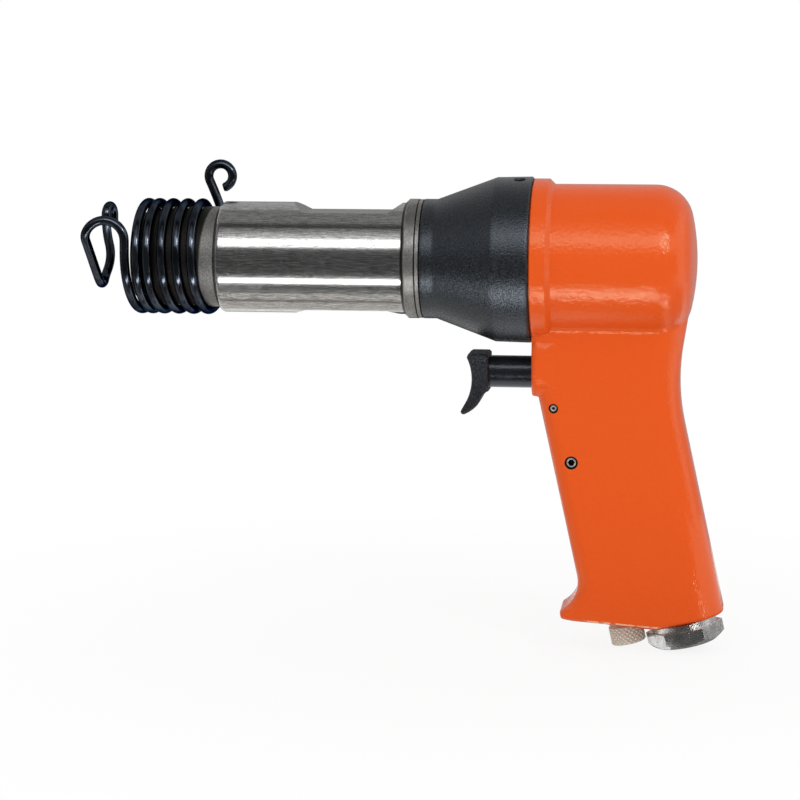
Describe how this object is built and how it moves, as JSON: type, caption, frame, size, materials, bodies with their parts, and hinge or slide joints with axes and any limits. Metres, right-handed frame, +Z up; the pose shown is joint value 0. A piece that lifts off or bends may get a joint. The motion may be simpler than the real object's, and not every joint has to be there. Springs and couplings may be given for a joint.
{
  "type": "air hammer",
  "caption": "Pistol-grip air hammer: steel barrel with tool socket and wire retainer, coned exhaust deflector, push trigger, painted grip, air regulator and threaded inlet.",
  "frame": {"origin": "mouth of the tool socket, on the barrel's axis", "axes": "+X back along the barrel, +Z up, the grip hangs towards -Z"},
  "size_m": [0.2492, 0.0638, 0.1875],
  "materials": {
    "handle_paint": "glossy paint on a casting",
    "ground_steel": "ground along the barrel",
    "rough_steel": "rough, dull grey",
    "bright_steel": "bright turned",
    "black_steel": "satin black",
    "spring_steel": "glossy blue-black wire",
    "black_cast": "glossy black over a rough casting",
    "zinc": "bright zinc plate",
    "knob_steel": "pale plate, knurled knob",
    "brass": "turned",
    "rubber": "matt"
  },
  "bodies": {
    "housing": {"handle": "handle_paint", "barrel": "ground_steel", "lock_collar": "rough_steel", "deflector_washer": "bright_steel", "retaining_spring": "spring_steel", "lever_pin": "bright_steel", "seat_screw": "bright_steel", "inlet_bushing": "zinc", "valve_block": "bright_steel", "valve_cap": "bright_steel", "dowel_far": "bright_steel", "dowel_near": "bright_steel", "valve_gasket": "rubber", "throttle_seat": "brass", "seat_o_ring": "rubber", "guide_o_ring": "rubber", "throttle_spring": "bright_steel", "regulator_clip": "spring_steel", "inlet_screen": "brass"},
    "deflector": {"exhaust_deflector": "black_steel"},
    "trigger_assembly": {"trigger": "black_cast", "trigger_stem": "black_steel"},
    "lever": {"throttle_lever": "bright_steel"},
    "valve": {"throttle_valve": "bright_steel", "valve_face": "rubber"},
    "regulator": {"regulator_spindle": "knob_steel", "regulator_o_ring": "rubber"},
    "hammer_piston": {"piston": "bright_steel"},
    "shuttle": {"shuttle_valve": "bright_steel"}
  },
  "joints": [
    {"name": "trigger_slide", "type": "slide", "parent": "housing", "child": "trigger_assembly", "axis": [1, 0, 0], "range_m": [0, 0.006], "stiffness_N_per_m": 1200, "springref_m": -0.006},
    {"name": "lever_swing", "type": "hinge", "parent": "housing", "child": "lever", "pos_m": [0.15434, 0, -0.0556], "axis": [0, 1, 0], "range_deg": [0, 28.01]},
    {"name": "valve_slide", "type": "slide", "parent": "housing", "child": "valve", "axis": [0.2164, 0, -0.9763], "range_m": [0, 0.00423], "deforming": ["throttle_spring"]},
    {"name": "piston_stroke", "type": "slide", "parent": "housing", "child": "hammer_piston", "axis": [1, 0, 0], "range_m": [0, 0.085]},
    {"name": "shuttle_slide", "type": "slide", "parent": "housing", "child": "shuttle", "axis": [1, 0, 0], "range_m": [0, 0.0025]},
    {"name": "deflector_turn", "type": "hinge", "parent": "housing", "child": "deflector", "pos_m": [0.125, 0, 0], "axis": [1, 0, 0], "continuous": true},
    {"name": "regulator_turn", "type": "hinge", "parent": "housing", "child": "regulator", "pos_m": [0.18295, 0, -0.1455], "axis": [-0.2164, 0, 0.9763], "range_deg": [0, 90]}
  ],
  "couplings": [
    {"joint": "lever_swing", "follows": "trigger_slide", "rad_per_m": 81.449},
    {"joint": "valve_slide", "follows": "trigger_slide", "ratio": 0.70394}
  ]
}
